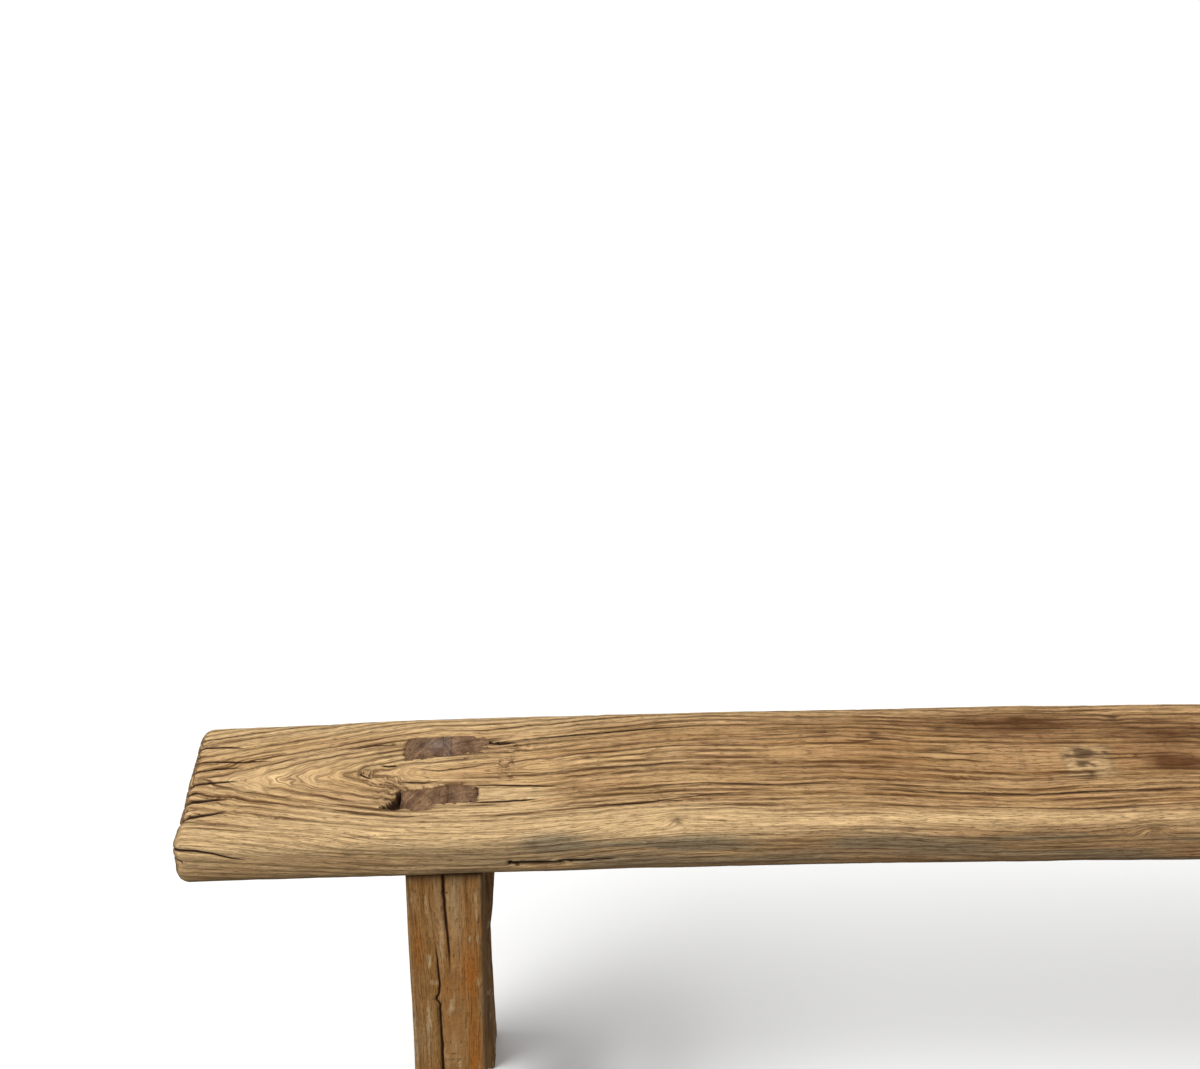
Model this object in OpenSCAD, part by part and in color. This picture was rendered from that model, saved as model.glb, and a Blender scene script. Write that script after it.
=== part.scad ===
// A long narrow farm bench: one thick elm plank on four splayed legs, with two
// stretchers between the legs at each end. Every joint is a tenon that runs right
// through its mortise. The four leg tenons are spread by a wedge from above.
// +X runs along the seat, -Y is the front, +Z is up, and the floor is at Z = 0.

/* [Seat] */
// Length of the plank, end to end
seat_l = 1260; // [900:10:1800]
// Width of the plank, front to back
seat_w = 131; // [120:1:200]
// Thickness of the plank
seat_t = 50; // [40:1:80]
// Height of the sitting surface above the floor
seat_h = 500; // [400:5:620]
// Radius of the two worn top edges
top_edge_r = 13; // [4:1:18]
// Radius of the two lower edges
low_edge_r = 18; // [4:1:20]
// Radius of the ends' corners, seen from above
corner_r = 10; // [3:1:20]
// Radius of the ends' upper and lower edges
end_edge_r = 9; // [3:1:15]
// How far out of square the left end is cut, in degrees
left_skew = 4; // [-5:0.5:5]
// How far out of square the right end is cut, in degrees
right_skew = 1.5; // [-5:0.5:5]

/* [Legs] */
// Distance from each end of the plank to the middle of its leg tenons
end_overhang = 194; // [120:1:260]
// Width of a leg, along the seat
leg_w = 57; // [40:1:70]
// Depth of a leg, across the seat
leg_d = 44; // [36:1:56]
// Radius of a leg's long worn corners
leg_arris_r = 3.5; // [1:0.5:6]
// Lean of each leg towards the front or the back, in degrees
side_splay = 11; // [6:0.5:15]
// Lean of each leg towards its end of the seat, in degrees
end_splay = 1.2; // [0:0.1:6]
// Distance between the two tenons' middles at the sitting surface
tenon_spacing = 51; // [44:1:60]
// Thickness of a leg tenon, across the seat
tenon_t = 27; // [18:1:30]
// How far a tenon's end lies below the sitting surface
tenon_sink = 1; // [0:0.5:3]

/* [Wedges] */
// Thickness of a wedge at its head
wedge_head = 6; // [4:0.5:8]
// Thickness of a wedge at its tip
wedge_tip = 2; // [1:0.5:3]
// Depth that a wedge is driven to
wedge_depth = 34; // [20:1:38]

/* [Stretchers] */
// Thickness of a stretcher, along the seat
rail_t = 24; // [20:1:30]
// Height of a stretcher's section
rail_h = 44; // [43:1:56]
// Thickness of a stretcher's tenons
rail_tenon_t = 17; // [10:1:19]
// Height of a stretcher's tenons
rail_tenon_h = 38; // [20:1:42]
// Height of the upper stretchers' middle above the floor
upper_rail_z = 240; // [225:1:300]
// Height of the lower stretchers' middle above the floor
lower_rail_z = 130; // [80:1:165]
// How far a stretcher's tenons stand out of the legs
rail_proud = 1.5; // [0.5:0.5:4]

/* [Fits] */
// Gap all round a leg tenon in its mortise
tenon_gap = 0.4; // [0.2:0.1:1]
// Radius of the small fillets in a leg mortise's corners
mortise_corner_r = 0.5; // [0.1:0.1:0.5]
// Gap all round a stretcher tenon in its mortise
rail_gap = 0.3; // [0.2:0.1:1]

/* [Hidden] */

LEFT = -1;
RIGHT = 1;
FRONT = -1;
REAR = 1;

// Longer than any piece, for cutting blocks
reach = 2 * (seat_l + seat_h);
// Distance from the middle of the bench to each pair of leg tenons
leg_x = seat_l / 2 - end_overhang;
// Height of the plank's underside, where the legs' shoulders bear
shoulder_z = seat_h - seat_t;
// Room beyond half the plank's size, so that a corner's round meets the long side without a step
corner_lap = 0.6;

// How far from the middle an end is cut, so that its leading corner's round comes
// to exactly half of the plank's length
function end_x(skew) = seat_l / 2 - corner_r * (1 - cos(skew))
    - (seat_w / 2 + corner_lap - corner_r) * sin(abs(skew));

// ---- outlines ----

// A rectangle with round corners, centred
module round_rect(w, h, r) {
    square([w - 2 * r, h], center = true);
    square([w, h - 2 * r], center = true);
    for (sx = [-1, 1], sy = [-1, 1])
        translate([sx * (w / 2 - r), sy * (h / 2 - r)]) circle(r, $fn = 48);
}

// The plank's section, X across the plank and Y up
module seat_section() {
    top_w = seat_w - 2 * top_edge_r;
    low_w = seat_w - 2 * low_edge_r;
    translate([-top_w / 2, seat_h - seat_t / 2]) square([top_w, seat_t / 2]);
    translate([-low_w / 2, shoulder_z]) square([low_w, seat_t / 2]);
    translate([-seat_w / 2, shoulder_z + low_edge_r])
        square([seat_w, seat_t - low_edge_r - top_edge_r]);
    for (side = [FRONT, REAR]) {
        translate([side * top_w / 2, seat_h - top_edge_r]) circle(top_edge_r, $fn = 64);
        translate([side * low_w / 2, shoulder_z + low_edge_r]) circle(low_edge_r, $fn = 64);
    }
}

// What one end of the plank keeps, seen square on: the end is at X = 0, its two
// corners are round, and everything further in is kept whole
module end_outline(w, r) {
    translate([-reach, -reach / 2]) square([reach - r, reach]);
    translate([-2 * r, -w / 2 + r]) square([2 * r, w - 2 * r]);
    for (side = [-1, 1])
        translate([-r, side * (w / 2 - r)]) circle(r, $fn = 64);
}

// ---- cutting blocks ----

// Moves its children to one end of the plank, with X pointing out of that end
module at_end(side, skew) {
    translate([side * end_x(skew), 0, 0])
        rotate([0, 0, skew])
            mirror([side == LEFT ? 1 : 0, 0, 0])
                children();
}

// The block that keeps one end's round corners and round edges
module end_keep(side, skew) {
    at_end(side, skew) intersection() {
        linear_extrude(seat_h + reach)
            end_outline(seat_w + 2 * corner_lap, corner_r);
        translate([0, reach / 2, seat_h - seat_t / 2]) rotate([90, 0, 0])
            linear_extrude(reach)
                end_outline(seat_t + 2 * corner_lap, end_edge_r);
    }
}

// Everything between two heights
module slab(low, high) {
    translate([-reach / 2, -reach / 2, low]) cube([reach, reach, high - low]);
}

// Moves its children to one leg: Z runs along the leg, and Z = 0 is where its
// middle line meets the sitting surface
module along_leg(end, side) {
    translate([end * leg_x, side * tenon_spacing / 2, seat_h])
        rotate([side * side_splay, -end * end_splay, 0])
            children();
}

// A bar along one leg, with its section centred
module leg_bar(end, side, w, d, r) {
    along_leg(end, side)
        translate([0, 0, -reach / 2]) linear_extrude(reach) round_rect(w, d, r);
}

// Everything on the outer side of one leg's plane, which lies off its middle line
module outside_leg(end, side, off) {
    along_leg(end, side)
        translate([-reach / 2, side == FRONT ? -off - reach : off, -reach / 2])
            cube([reach, reach, reach]);
}

// Where a stretcher's middle line runs, at the height z
function rail_x(end, z) = end * (leg_x + (seat_h - z) * tan(end_splay));

// A bar from front to back at one stretcher's place, with its section centred
module rail_bar(end, z, w, h) {
    translate([rail_x(end, z) - w / 2, -reach / 2, z - h / 2]) cube([w, reach, h]);
}

// One wedge's body before its head is trimmed: thick at the head, thin at the tip
module wedge_blank(end, side) {
    past = wedge_depth;
    slope = (wedge_head - wedge_tip) / 2 / wedge_depth;
    top_half = wedge_head / 2 + slope * past;
    along_leg(end, side)
        translate([0, tenon_t / 2, 0]) rotate([90, 0, 0]) linear_extrude(tenon_t)
            polygon([
                [-wedge_tip / 2, -wedge_depth], [wedge_tip / 2, -wedge_depth],
                [top_half, past], [-top_half, past]
            ]);
}

// ---- pieces ----

module seat() color("burlywood") {
    difference() {
        intersection() {
            translate([-reach / 2, 0, 0]) rotate([90, 0, 90])
                linear_extrude(reach) seat_section();
            end_keep(LEFT, left_skew);
            end_keep(RIGHT, right_skew);
        }
        for (end = [LEFT, RIGHT], side = [FRONT, REAR])
            leg_bar(end, side, leg_w + 2 * tenon_gap, tenon_t + 2 * tenon_gap, mortise_corner_r);
    }
}

module leg(end, side) color("peru") {
    difference() {
        intersection() {
            leg_bar(end, side, leg_w, leg_d, leg_arris_r);
            slab(0, seat_h - tenon_sink);
        }
        // The shoulders, which leave the tenon standing
        difference() {
            slab(shoulder_z, reach);
            leg_bar(end, side, 2 * leg_w, tenon_t, mortise_corner_r);
        }
        wedge_blank(end, side);
        for (z = [upper_rail_z, lower_rail_z])
            rail_bar(end, z, rail_tenon_t + 2 * rail_gap, rail_tenon_h + 2 * rail_gap);
    }
}

module rail(end, z) color("sienna") {
    difference() {
        rail_bar(end, z, rail_t, rail_h);
        for (side = [FRONT, REAR]) outside_leg(end, side, -leg_d / 2);
    }
    difference() {
        rail_bar(end, z, rail_tenon_t, rail_tenon_h);
        for (side = [FRONT, REAR]) outside_leg(end, side, leg_d / 2 + rail_proud);
    }
}

module wedge(end, side) color("saddlebrown") {
    intersection() {
        wedge_blank(end, side);
        slab(0, seat_h - tenon_sink);
    }
}

seat();
leg(LEFT, FRONT);  // leg_front_left
leg(RIGHT, FRONT);  // leg_front_right
leg(LEFT, REAR);  // leg_rear_left
leg(RIGHT, REAR);  // leg_rear_right
rail(LEFT, upper_rail_z);  // rail_upper_left
rail(RIGHT, upper_rail_z);  // rail_upper_right
rail(LEFT, lower_rail_z);  // rail_lower_left
rail(RIGHT, lower_rail_z);  // rail_lower_right
wedge(LEFT, FRONT);  // wedge_front_left
wedge(RIGHT, FRONT);  // wedge_front_right
wedge(LEFT, REAR);  // wedge_rear_left
wedge(RIGHT, REAR);  // wedge_rear_right
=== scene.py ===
"""A long narrow farm bench of old elm: a thick plank on four splayed legs, held by wedged
through tenons, with two stretchers between the legs of each end. +X runs along the plank,
-Y is the front, +Z is up. Shapes are worked out in millimetres and made in metres."""

import math

import bpy
import numpy as np
from mathutils import Matrix, Vector


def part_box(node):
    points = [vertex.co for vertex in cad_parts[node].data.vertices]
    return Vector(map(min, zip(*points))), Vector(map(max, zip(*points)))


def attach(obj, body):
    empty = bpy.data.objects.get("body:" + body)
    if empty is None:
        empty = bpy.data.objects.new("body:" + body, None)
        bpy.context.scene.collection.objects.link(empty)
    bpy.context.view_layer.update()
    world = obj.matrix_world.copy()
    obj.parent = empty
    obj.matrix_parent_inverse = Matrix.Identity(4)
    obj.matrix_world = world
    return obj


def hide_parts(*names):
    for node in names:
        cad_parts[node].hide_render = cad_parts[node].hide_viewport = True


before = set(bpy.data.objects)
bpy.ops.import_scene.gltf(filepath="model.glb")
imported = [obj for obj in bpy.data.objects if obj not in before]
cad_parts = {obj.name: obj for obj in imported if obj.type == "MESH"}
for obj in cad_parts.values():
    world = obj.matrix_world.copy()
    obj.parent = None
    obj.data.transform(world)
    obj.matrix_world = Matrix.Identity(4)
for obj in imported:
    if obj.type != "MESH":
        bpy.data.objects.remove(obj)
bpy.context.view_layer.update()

# ---------------------------------------------------------------------------------------
# The plank: one thick riven board of elm, hewn by hand, and worn round along its edges.
# Long use has scoured the soft grain out of its top, and its ends have opened in checks.
# Four mortises go through it for the legs.
# ---------------------------------------------------------------------------------------

MM = 0.001
LEFT, RIGHT, FRONT, REAR = -1, 1, -1, 1
SIDE_SPLAY = math.tan(math.radians(11))
END_SPLAY = math.tan(math.radians(1.2))

plank_low, plank_high = (np.array(corner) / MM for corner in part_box("seat"))
PLANK_HALF = plank_high[0]
PLANK_W = plank_high[1] - plank_low[1]
PLANK_T = plank_high[2] - plank_low[2]
SEAT_H = plank_high[2]
SHOULDER_Z = plank_low[2]
TOP_EDGE_R, LOW_EDGE_R, END_EDGE_R = 13.0, 18.0, 9.0
END_SKEW = {LEFT: math.tan(math.radians(3)), RIGHT: math.tan(math.radians(1.5))}
BOW = 11.0

wedge_low, wedge_high = (np.array(corner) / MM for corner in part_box("wedge_front_right"))
LEG_X = (wedge_low[0] + wedge_high[0]) / 2
TENON_Y, TENON_T, TENON_TOP = 25.5, 27.0, wedge_high[2]


def smooth_noise(u, v, seed):
    """A smooth random field from -1 to 1: each whole-number point of the (u, v) plane has
    a random value of its own, and between four of them it blends by 3f^2 - 2f^3."""
    table = np.random.default_rng(seed).uniform(-1, 1, (256, 256))
    iu, iv = np.floor(u).astype(int), np.floor(v).astype(int)
    fu, fv = u - iu, v - iv
    fu, fv = fu * fu * (3 - 2 * fu), fv * fv * (3 - 2 * fv)
    iu, iv, ju, jv = iu % 256, iv % 256, (iu + 1) % 256, (iv + 1) % 256
    near = table[iu, iv] * (1 - fu) + table[ju, iv] * fu
    far = table[iu, jv] * (1 - fu) + table[ju, jv] * fu
    return near * (1 - fv) + far * fv


def smooth_step(value, low, high):
    """0 below low, 1 above high, and 3t^2 - 2t^3 of the way t between them."""
    t = np.clip((value - low) / (high - low), 0, 1)
    return t * t * (3 - 2 * t)


def fissures(along, across, paths, seed):
    """Thin cracks along lines that go through their paths' points and wander a little.
    Each narrows as the root of what is left of its length, or, where it is pointed at both
    ends, as the root of a sine, and a thin one is fainter. Gives the signed distance from
    the nearest crack's middle in half widths, how much of a crack there is near it, and
    its depth."""
    nearest = np.full(along.shape, 9.0)
    signed, there, deep = nearest.copy(), np.zeros(along.shape), np.zeros(along.shape)
    for k, (path, half_width, pointed) in enumerate(paths):
        stops, centres = np.array(path, float).T
        wander = 0.3 * smooth_noise(along / 6.0, np.full_like(along, k + 0.5), seed)
        off = across - np.interp(along, stops, centres) - wander
        run = np.clip((along - stops[0]) / (stops[-1] - stops[0]), 0, 1)
        shape = np.sqrt(np.sin(np.pi * run)) if pointed else np.sqrt(1 - run)
        inside = (along >= stops[0] - 2) & (along < stops[-1])
        here = inside * shape ** 0.7 * (1 - smooth_step(np.abs(off), 1.6, 2.8))
        here = here * min(1.0, 0.85 * half_width ** 2)
        closer = inside & (np.abs(off) < nearest)
        nearest = np.where(closer, np.abs(off), nearest)
        signed = np.where(closer, off / (half_width * (0.35 + 0.65 * shape)), signed)
        there = np.maximum(there, here)
        wide = np.maximum(1.5 * half_width, 1.4)
        deep = np.maximum(deep, inside * shape * half_width * np.clip(1 - np.abs(off) / wide, 0, 1))
    return np.clip(signed, -4, 4), there, deep


def inside_distance(x, y, corners):
    """How far inside a polygon a point lies, negative outside: the least distance to its
    edges, signed by whether an odd number of them cross a line to the point's right."""
    nearest, odd = np.full(x.shape, 1e6), np.zeros(x.shape, bool)
    for (ax, ay), (bx, by) in zip(corners, corners[1:] + corners[:1]):
        ex, ey = bx - ax, by - ay
        run = np.clip(((x - ax) * ex + (y - ay) * ey) / (ex * ex + ey * ey), 0, 1)
        nearest = np.minimum(nearest, np.hypot(x - ax - run * ex, y - ay - run * ey))
        crosses = (ay > y) != (by > y)
        odd = odd ^ (crosses & (x < ax + (y - ay) * ex / (ey if ey else 1e-9)))
    return np.where(odd, nearest, -nearest)


def blob(along, across, centre, size):
    """A soft round spot: the bell curve of the distance from its centre, in units of its
    size along and across."""
    u = (along - centre[0]) / size[0]
    v = (across - centre[1]) / size[1]
    return np.exp(-(u * u + v * v))


def blobs(along, across, table):
    """The sum of soft round spots, each with a strength, a centre and a size."""
    return sum(strength * blob(along, across, centre, size) for strength, centre, size in table)


def round_outline(q, width, height, top_r, low_r):
    """A round-cornered rectangle about its middle, at the distance q along its outline
    from the middle of its top: a flat, a quarter round, a flat, a quarter round and a
    flat, mirrored for negative q. Gives across, up and the outward normal's two parts."""
    a = np.abs(q)
    flat, side = width / 2 - top_r, height - top_r - low_r
    quarter, low_quarter = math.pi / 2 * top_r, math.pi / 2 * low_r
    turn = np.clip((a - flat) / top_r, 0, math.pi / 2)
    turn = turn + np.clip((a - flat - quarter - side) / low_r, 0, math.pi / 2)
    across = np.minimum(a, flat) + top_r * np.sin(np.minimum(turn, math.pi / 2))
    across = across - low_r * (1 - np.sin(np.maximum(turn, math.pi / 2)))
    across = across - np.maximum(a - flat - quarter - side - low_quarter, 0)
    up = height / 2 - top_r * (1 - np.cos(np.minimum(turn, math.pi / 2)))
    up = up - np.clip(a - flat - quarter, 0, side)
    up = up + low_r * np.cos(np.maximum(turn, math.pi / 2))
    return np.sign(q) * across, up, np.sign(q) * np.sin(turn), np.cos(turn)


def half_outline(width, height, top_r, low_r):
    """Half of a round-cornered rectangle's outline, as a length."""
    corners = (math.pi / 2 - 2) * (top_r + low_r)
    return width + height + corners


def stations(*stretches):
    """Places along a line, from (end, step) stretches after a first plain number."""
    places = [np.array([stretches[0]], float)]
    for end, step in stretches[1:]:
        start = places[-1][-1]
        count = max(1, round(abs(end - start) / step))
        places.append(np.linspace(start, end, count + 1)[1:])
    return np.concatenate(places)


def closed_tube(name, rings, uv, marks):
    """A mesh from rings of points, each joined to the next, with a fan on its first and
    last ring. The faces are turned outwards: the sign of the sum of corner triple products
    says which way they point. uv and marks give a value for each point of each ring."""
    count, around = rings.shape[:2]
    poles = np.stack([rings[0].mean(0), rings[-1].mean(0)])
    points = np.concatenate([rings.reshape(-1, 3), poles])
    ring, step = np.meshgrid(np.arange(count - 1), np.arange(around), indexing="ij")
    turn = (step + 1) % around
    quads = np.stack([ring * around + step, ring * around + turn,
                      (ring + 1) * around + turn, (ring + 1) * around + step], -1)
    quads = quads.reshape(-1, 4)
    first = np.arange(around)
    after = (first + 1) % around
    last = (count - 1) * around
    fans = np.concatenate([
        np.stack([after, first, np.full(around, count * around)], -1),
        np.stack([last + first, last + after, np.full(around, count * around + 1)], -1)])
    a, b, c = points[quads[:, 0]], points[quads[:, 1]], points[quads[:, 2]]
    if (np.cross(a, b) * c).sum() < 0:
        quads, fans = quads[:, ::-1], fans[:, ::-1]
    corners = np.concatenate([quads.ravel(), fans.ravel()])
    starts = np.concatenate([np.arange(len(quads)) * 4,
                             len(quads) * 4 + np.arange(len(fans)) * 3])
    mesh = bpy.data.meshes.new(name)
    mesh.vertices.add(len(points))
    mesh.vertices.foreach_set("co", (points * MM).astype(np.float32).ravel())
    mesh.loops.add(len(corners))
    mesh.loops.foreach_set("vertex_index", corners.astype(np.int32))
    mesh.polygons.add(len(starts))
    mesh.polygons.foreach_set("loop_start", starts.astype(np.int32))
    mesh.polygons.foreach_set("use_smooth", np.ones(len(starts), bool))
    mesh.update(calc_edges=True)
    flat_uv = np.concatenate([uv.reshape(-1, 2), uv[0].mean(0)[None], uv[-1].mean(0)[None]])
    layer = mesh.uv_layers.new(name="grain")
    layer.uv.foreach_set("vector", (flat_uv[corners] * MM).astype(np.float32).ravel())
    for mark, values in marks.items():
        values = np.concatenate([values.ravel(), [values[0].mean(), values[-1].mean()]])
        attribute = mesh.attributes.new(mark, "FLOAT", "POINT")
        attribute.data.foreach_set("value", values.astype(np.float32))
    mesh.validate()
    piece = bpy.data.objects.new(name, mesh)
    bpy.context.scene.collection.objects.link(piece)
    return piece


def closed_end(edge_r, middle_size, centre_rings, edge_rings):
    """How a tube is closed, ring by ring from the middle of its end: how far in from the
    end a ring lies, how far its section is drawn in, how much it is shrunk towards its
    middle, and how far it has turned to face the end. First the flat end, then a quarter
    round of the radius edge_r: in by 1 - sin, drawn in by 1 - cos of the turn."""
    shrink = np.linspace(middle_size, 1, centre_rings + 1)[:-1]
    turn = np.linspace(math.pi / 2, 0, edge_rings)
    flat = np.zeros(centre_rings)
    inward = np.concatenate([flat, edge_r * (1 - np.sin(turn))])
    draw = np.concatenate([flat + edge_r, edge_r * (1 - np.cos(turn))])
    size = np.concatenate([shrink, np.ones(edge_rings)])
    facing = np.concatenate([flat + math.pi / 2, turn])
    return inward, draw, size, facing


def between(first, middle, last):
    """A column of one value for each ring: a first end's, the middle's, and those of a last
    end in the opposite order."""
    return np.concatenate([first, middle, last[::-1]])[:, None]


# A place on the plank is (along, round): how far along it from its middle, and how far
# round its section from the middle of its top, positive towards the rear.
KNOTS = [
    # along, round, size, and how much the grain bulges round it
    (-499, 1, 3, 2.4), (-487, 0, 2.5, -1.8), (-477, 8, 3, 1.6), (-389, 9, 4, 1.4),
    (-265, -56, 4, 2.5), (72, 43, 5, 3.0), (82, -68, 6, 5.0), (300, 12, 8, 6.0), (520, -20, 7, 6.0),
]
# how far apart the dark growth lines are
RING_PITCH = 5.0
# added to the grain map's first coordinate, so that it is never below zero
GRAIN_START = 700
# how much a step up counts as a step across, so that noise runs on round the edges
NOISE_LEAN = 1.7
TREE_CENTRE = [
    # along, round, and how deep under the surface
    (-630, -2, 46), (-540, -1, 30), (-460, 0, 12), (-390, 0, 8), (-350, 5, 7), (-290, 11, 7),
    (-247, 14, 7), (-190, 10, 7), (-136, 13, 7), (-100, 9, 7), (-60, 4, 7), (0, 1, 7), (50, 3, 8),
    (120, 5, 9), (250, 0, 14), (400, -6, 9), (630, 4, 34),
]
# 2 would turn the growth lines back in round bows, and 1 in sharp corners
ROOT = 1.4


def eased(x, stops, values, reach):
    """Straight lines through the stops, averaged over places 16 apart out to the reach on
    each side, so that they have no kinks."""
    offsets = np.arange(-reach, reach + 1, 16)
    return sum(np.interp(x + offset, stops, values) for offset in offsets) / len(offsets)


def rings_of_plank(x, across, up, q, half, on_end):
    """The growth lines' coordinate: the distance round the section from the tree's centre
    line and that line's depth, which falls from the left end inwards, joined as the root
    of the sum of their powers of ROOT, so that the lines turn back in narrow arrowheads.
    It bulges round the knots and waves slowly. On an end it is the distance from the
    tree's centre."""
    stops, centre, deep = zip(*TREE_CENTRE)
    middle = eased(x, stops, centre, 32) * np.cos(math.pi / 2 * q / half)
    depth = eased(x, stops, deep, 16)
    cross = across + NOISE_LEAN * up
    ring = (np.abs(q - middle) ** ROOT + depth ** ROOT) ** (1 / ROOT)
    for size, cell_along, cell_across, seed in (
            (1.5, 120, 19, 11), (0.7, 37, 8, 12), (0.35, 12, 4, 13)):
        ring = ring + size * smooth_noise(x / cell_along, cross / cell_across, seed)
    crumpled = smooth_step(-x, 440, 480) * smooth_step(30 - np.abs(q), 0, 20)
    ring = ring + 1.0 * smooth_noise(x / 9, cross / 5, 15) * crumpled
    for along, place, size, bulge in KNOTS:
        ring = ring + bulge * blob(x, q, (along, place), (size * 1.8, size))
    on_section = np.hypot(across - 3, up + 12 * np.sign(x))
    on_section = on_section + 1.2 * smooth_noise(across / 18, up / 18, 14)
    return ring + (on_section - ring) * on_end


def slope_of(ring, along, around):
    """How fast the ring coordinate changes over the surface: the root of the squares of
    its rates along and around, held between 0.12 and 1.5."""
    step_along = np.gradient(along, axis=0)
    step_around = np.gradient(around, axis=1)
    rate = np.hypot(np.gradient(ring, axis=0) / np.where(np.abs(step_along) < 0.2, 1e3, step_along),
                    np.gradient(ring, axis=1) / np.where(np.abs(step_around) < 0.2, 1e3, step_around))
    return np.clip(rate, 0.12, 1.5)


def growth_lines(ring, slope, width):
    """Thin lines where the ring coordinate is a whole number of pitches: 1 in their
    middle, and 0 at the width from it, measured over the surface."""
    off = np.abs(ring / RING_PITCH - np.round(ring / RING_PITCH)) * RING_PITCH / slope
    return 1 - smooth_step(off, 0.25 * width, width)


END_CHECKS = [
    # (along, round) points from the left end inwards, the half width, and whether it is
    # pointed at both ends
    ([(-629, 35.5), (-622, 37), (-604, 36.5), (-592, 34)], 1.5, False),
    ([(-629, 20), (-612, 20), (-597, 19), (-568, 18.5)], 1.35, False),
    ([(-629, 9.3), (-620, 10.5), (-600, 12), (-588, 12)], 1.0, False),
    ([(-629, -5), (-622, -3.3), (-608, -2.2), (-590, -2)], 1.6, False),
    ([(-629, -22), (-619, -20.5), (-608, -19.5), (-596, -20)], 2.0, False),
    ([(-629, -39), (-621, -35.5), (-608, -33.5), (-594, -31.5)], 2.3, False),
    ([(-629, 28), (-615, 27.2)], 0.8, False),
    ([(-629, -12.5), (-612, -13.4)], 0.9, False),
    ([(-629, -30), (-616, -29)], 0.9, False),
    ([(-629, 47), (-612, 46)], 0.9, False),
    ([(-629, -66), (-612, -67), (-600, -70), (-587, -74.5), (-576, -77)], 1.35, False),
    ([(-629, -76), (-621, -78)], 1.6, False),
    ([(-629, 66), (-600, 67)], 0.9, False),
    ([(-629, 84), (-590, 86)], 1.1, False),
]
# the same from the right end, with the distances along it turned round
RIGHT_CHECKS = [
    ([(-620, -50 + 11.3 * k + 3 * math.sin(5 * k)),
      (-598 + 13 * (k % 3), -50 + 11.3 * k + 2 * math.cos(3 * k))], 1.0, False)
    for k in range(10)
]
FRONT_SPLIT = [
    ([(-386, -89.5), (-381, -94)], 1.6, False),
    ([(-389, -91), (-364, -91.9), (-351, -91), (-338, -90)], 2.4, True),
    ([(-349, -90.8), (-330, -89.5), (-306, -87)], 1.1, False),
]
LONG_CRACKS = [
    ([(-404, 31), (-351, 35.5), (-290, 41), (-236, 43)], 0.85, True),
    ([(-330, -22), (-290, -20), (-245, -17), (-186, -21), (-130, -18)], 0.75, True),
    ([(-138, -23), (-98, -27), (-62, -32), (-3, -35), (48, -33), (122, -31), (205, -30)], 0.78, True),
    ([(-364, -39), (-290, -37), (-246, -30), (-195, -27)], 0.8, True),
    ([(-160, -44), (-100, -43.5), (-28, -48), (30, -50), (119, -46), (190, -47)], 0.75, True),
    ([(-530, 38), (-497, 46), (-470, 48)], 0.7, True),
    ([(-512, 27), (-490, 31), (-472, 31)], 0.8, True),
    ([(-507, -37), (-465, -43), (-440, -42)], 0.65, True),
    ([(-417, -15), (-400, -14.5), (-350, -17.5)], 0.95, True),
    ([(-417, -32), (-400, -31.5), (-365, -30)], 0.95, True),
    ([(-407, 32), (-396, 29.5), (-384, 30)], 1.7, False),
    ([(-463, 6), (-440, 2), (-416, 5), (-405, 8)], 0.8, True),
    ([(-472, -8), (-452, -10), (-436, -8)], 0.8, True),
    ([(-420, -4), (-395, -2), (-340, -4)], 0.7, True),
    ([(-484, 9), (-479, 8), (-472, 9)], 1.1, True),
    ([(-502, 3), (-498, -1), (-490, -4)], 0.9, True),
    ([(-378, -8), (-342, 0.6), (-289, 2), (-240, 6)], 0.75, True),
    ([(-60, 8), (-20, 7), (30, 10)], 0.6, True),
    ([(-150, 20), (-110, 24), (-70, 25)], 0.7, True),
    ([(-70, 47), (-10, 50), (60, 49)], 0.7, True),
    ([(-250, 27), (-180, 31), (-120, 34)], 0.6, True),
    ([(-330, 15), (-270, 22), (-200, 20)], 0.6, True),
    ([(-20, -22), (40, -20), (100, -17)], 0.6, True),
    ([(220, 18), (290, 21), (380, 17)], 0.9, True),
    ([(260, -12), (330, -16), (400, -12)], 0.8, True),
    ([(330, 40), (400, 42), (500, 38)], 0.8, True),
    ([(200, -60), (320, -58), (420, -62)], 0.8, True),
    ([(-100, 92), (40, 88), (200, 93)], 0.9, True),
    ([(-420, 84), (-330, 88), (-260, 86)], 0.8, True),
    ([(-300, 130), (-100, 126), (150, 133)], 1.0, True),
    ([(100, -128), (300, -124), (420, -131)], 1.0, True),
    ([(-560, -58), (-500, -61), (-430, -60)], 0.6, True),
    ([(-200, -66), (-120, -64), (-40, -68)], 0.6, True),
]
TENON_ENDS = {
    # what can be seen of each leg's tenon, (along, across) in the plank's top
    (LEFT, REAR): [(-467, 16), (-467.4, 20), (-467, 33), (-464, 37.5), (-444, 37.2), (-431, 38.3),
                   (-416, 38.3), (-412.3, 33.4), (-411.4, 27), (-412.3, 22.6), (-425.5, 20.7),
                   (-433, 18.2), (-444.4, 17.5), (-453.8, 15), (-465, 14.6)],
    (LEFT, FRONT): [(-467, -18), (-461, -14.5), (-447, -13.5), (-435, -12.5), (-414, -12.7),
                    (-413, -15.5), (-414, -29), (-428, -31), (-441, -31.5), (-448, -37.4),
                    (-458, -36.7), (-464.5, -35), (-467.3, -29.6)],
    (RIGHT, REAR): [(407, 13), (406, 36), (430, 38), (464, 38), (467, 16), (440, 12)],
    (RIGHT, FRONT): [(408, -13), (404, -35), (436, -38.5), (462, -37), (468, -22), (450, -12.5)],
}
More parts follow.
